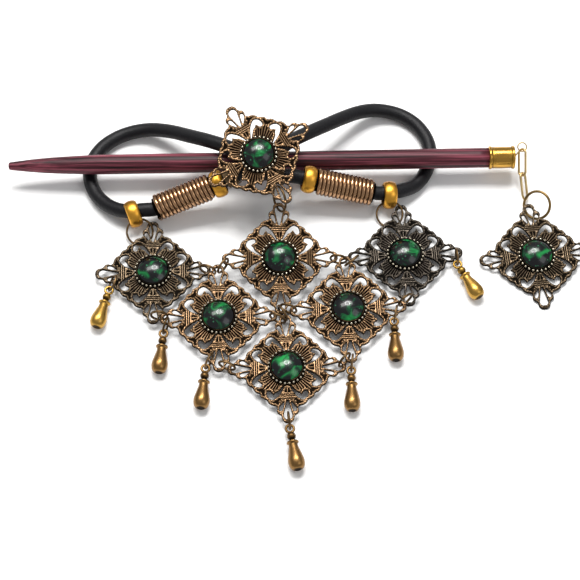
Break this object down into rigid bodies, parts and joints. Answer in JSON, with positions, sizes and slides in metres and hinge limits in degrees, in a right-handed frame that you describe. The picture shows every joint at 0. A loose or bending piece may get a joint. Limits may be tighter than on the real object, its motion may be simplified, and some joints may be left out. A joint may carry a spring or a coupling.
{
  "type": "hair slide",
  "caption": "Leather cord hair slide with a wooden stick, coiled wire sleeves, a bib of linked filigree plates with green stones and pendant drops, and a charm on a chain.",
  "frame": {"origin": "centre of the bounding box in plan, on the table the slide lies on", "axes": "+X from the stick's tip to its cap, +Y from the hanging drops up to the cord loops, +Z from the table to the stones' faces"},
  "size_m": [0.2048, 0.1412, 0.0276],
  "materials": {
    "black_leather": "soft sheen, smooth round cord",
    "coil_bronze": "drawn wire, polished crests and dark gaps",
    "gold": "satin to polished gold",
    "chain_gold": "light gold plating",
    "chain_brass": "antique brass",
    "maroon_wood": "stained laminated wood, satin",
    "bronze": "antique bronze, worn highlights",
    "dark_bronze": "dark antique bronze",
    "gunmetal": "blackened bronze",
    "ring_bronze": "antique bronze wire",
    "golden_drop": "aged gold",
    "bronze_drop": "aged bronze with gold highlights",
    "green_stone": "mottled green over black, glossy dome"
  },
  "bodies": {
    "frame": {"leather_cord": "black_leather", "coil_left": "coil_bronze", "coil_right": "coil_bronze", "bead_outer_left": "gold", "bead_inner_left": "gold", "bead_inner_right": "gold", "bead_outer_right": "gold", "brooch_plate": "bronze", "brooch_cup": "bronze", "brooch_stone": "green_stone", "back_clamps": "bronze"},
    "stick": {"stick_shaft": "maroon_wood", "stick_cap": "gold", "stick_eye": "chain_gold"},
    "upper_link": {"link_upper": "chain_gold"},
    "lower_link": {"link_lower": "chain_gold"},
    "chain_ring": {"chain_ring": "chain_brass"},
    "charm": {"charm_plate": "dark_bronze", "charm_cup": "dark_bronze", "charm_stone": "green_stone"},
    "hanger": {"hanger_ring": "ring_bronze"},
    "bib_centre": {"side_hanger_rings": "ring_bronze", "plate_centre": "bronze", "cup_centre": "bronze", "stone_centre": "green_stone", "rings_centre": "ring_bronze"},
    "bib_left": {"plate_left": "dark_bronze", "cup_left": "dark_bronze", "stone_left": "green_stone", "plate_mid_left": "bronze", "cup_mid_left": "bronze", "stone_mid_left": "green_stone", "rings_left": "ring_bronze"},
    "bib_right": {"plate_right": "gunmetal", "cup_right": "gunmetal", "stone_right": "green_stone", "plate_mid_right": "bronze", "cup_mid_right": "bronze", "stone_mid_right": "green_stone", "rings_right": "ring_bronze"},
    "bib_bottom": {"plate_bottom": "bronze", "cup_bottom": "bronze", "stone_bottom": "green_stone"},
    "pendant_1": {"drop_1": "golden_drop", "drop_ring_1": "ring_bronze"},
    "pendant_2": {"drop_2": "bronze_drop", "drop_ring_2": "ring_bronze"},
    "pendant_3": {"drop_3": "bronze_drop", "drop_ring_3": "ring_bronze"},
    "pendant_4": {"drop_4": "bronze_drop", "drop_ring_4": "ring_bronze"},
    "pendant_5": {"drop_5": "bronze_drop", "drop_ring_5": "ring_bronze"},
    "pendant_6": {"drop_6": "bronze_drop", "drop_ring_6": "ring_bronze"},
    "pendant_7": {"drop_7": "golden_drop", "drop_ring_7": "ring_bronze"}
  },
  "joints": [
    {"name": "stick_slide", "type": "slide", "parent": "frame", "child": "stick", "axis": [0.9998, 0.0209, 0], "range_m": [0, 0.15]},
    {"name": "upper_link_swing", "type": "hinge", "parent": "stick", "child": "upper_link", "pos_m": [0.0791, 0.047, 0.0099], "axis": [0, 0, 1], "range_deg": [-4, 8]},
    {"name": "lower_link_swing", "type": "hinge", "parent": "upper_link", "child": "lower_link", "pos_m": [0.0791, 0.0396, 0.006], "axis": [0, 0, 1], "range_deg": [-10, 20]},
    {"name": "chain_ring_swing", "type": "hinge", "parent": "lower_link", "child": "chain_ring", "pos_m": [0.0803, 0.032, 0.003], "axis": [0, 0, 1], "range_deg": [-10, 15]},
    {"name": "charm_swing", "type": "hinge", "parent": "chain_ring", "child": "charm", "pos_m": [0.08081, 0.02635, 0.00383], "axis": [0, 0, 1], "range_deg": [-8, 6]},
    {"name": "bib_swing", "type": "hinge", "parent": "frame", "child": "bib_centre", "pos_m": [-0.0128, 0.02565, 0.004], "axis": [-0.9966, -0.082, 0], "range_deg": [0, 4]},
    {"name": "hanger_swing", "type": "hinge", "parent": "frame", "child": "hanger", "pos_m": [-0.00468, 0.02319, 0.01827], "axis": [1, 0, 0], "range_deg": [0, 5.2]},
    {"name": "left_fold", "type": "hinge", "parent": "bib_centre", "child": "bib_left", "pos_m": [-0.0195, -0.0035, 0.0032], "axis": [-0.783, 0.622, 0], "range_deg": [0, 8]},
    {"name": "right_fold", "type": "hinge", "parent": "bib_centre", "child": "bib_right", "pos_m": [0.005, -0.003, 0.0032], "axis": [0.693, 0.721, 0], "range_deg": [-6, 0]},
    {"name": "bottom_fold", "type": "hinge", "parent": "bib_left", "child": "bib_bottom", "pos_m": [-0.0154, -0.0245, 0.003], "axis": [0.693, 0.721, 0], "range_deg": [-6, 0]},
    {"name": "pendant_1_swing", "type": "hinge", "parent": "bib_left", "child": "pendant_1", "pos_m": [-0.06417, -0.00015, 0.0027], "axis": [0, 0, 1], "range_deg": [-12, 5]},
    {"name": "pendant_2_swing", "type": "hinge", "parent": "bib_left", "child": "pendant_2", "pos_m": [-0.04426, -0.01651, 0.00356], "axis": [0, 0, 1], "range_deg": [-15, 15]},
    {"name": "pendant_3_swing", "type": "hinge", "parent": "bib_left", "child": "pendant_3", "pos_m": [-0.02903, -0.02984, 0.00298], "axis": [0, 0, 1], "range_deg": [-15, 8]},
    {"name": "pendant_4_swing", "type": "hinge", "parent": "bib_bottom", "child": "pendant_4", "pos_m": [-0.00372, -0.05129, 0.0027], "axis": [0, 0, 1], "range_deg": [-15, 15]},
    {"name": "pendant_5_swing", "type": "hinge", "parent": "bib_right", "child": "pendant_5", "pos_m": [0.018, -0.02984, 0.00283], "axis": [0, 0, 1], "range_deg": [-2, 15]},
    {"name": "pendant_6_swing", "type": "hinge", "parent": "bib_right", "child": "pendant_6", "pos_m": [0.03332, -0.01183, 0.00362], "axis": [0, 0, 1], "range_deg": [-2, 15]},
    {"name": "pendant_7_swing", "type": "hinge", "parent": "bib_right", "child": "pendant_7", "pos_m": [0.0545, 0.01018, 0.0027], "axis": [0, 0, 1], "range_deg": [-3, 15]}
  ],
  "couplings": [
    {"joint": "hanger_swing", "follows": "bib_swing", "ratio": 1.3},
    {"joint": "bottom_fold", "follows": "right_fold", "ratio": 1}
  ]
}
